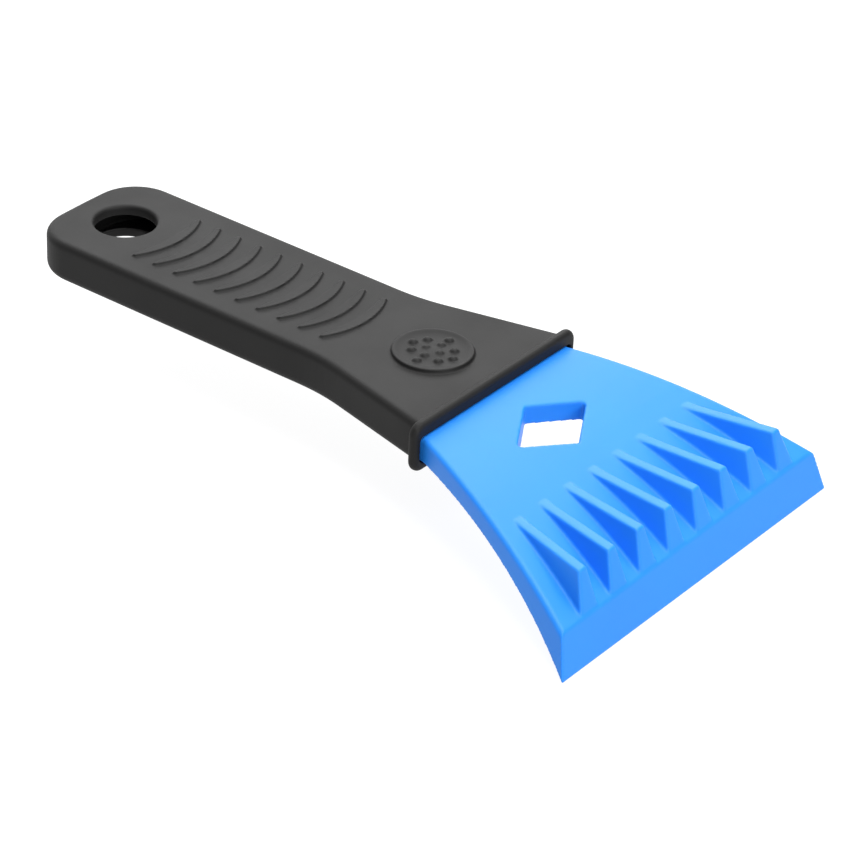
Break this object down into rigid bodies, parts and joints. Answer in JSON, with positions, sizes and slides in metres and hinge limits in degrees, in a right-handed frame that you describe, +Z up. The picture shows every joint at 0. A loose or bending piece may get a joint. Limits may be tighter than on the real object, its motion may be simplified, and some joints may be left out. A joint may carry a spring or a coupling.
{
  "type": "windshield ice scraper",
  "caption": "Hand ice scraper: a curved flared blade with ice-breaking ribs and a diamond window, its tang held in a flat elastomer grip sleeve with a hanging hole.",
  "frame": {"origin": "middle of the object's box, at its bottom, with the flat grip level; the cutting edge's lowest line is at z = 0", "axes": "+X along the grip towards the cutting edge, +Y across the blade, +Z up, out of the ridged face of the grip"},
  "size_m": [0.1859, 0.1034, 0.0306],
  "materials": {
    "blade_plastic": "satin moulded blue plastic",
    "grip_elastomer": "fine matt dark grey elastomer"
  },
  "bodies": {
    "root": {"blade": "blade_plastic", "grip_sleeve": "grip_elastomer"}
  },
  "joints": []
}
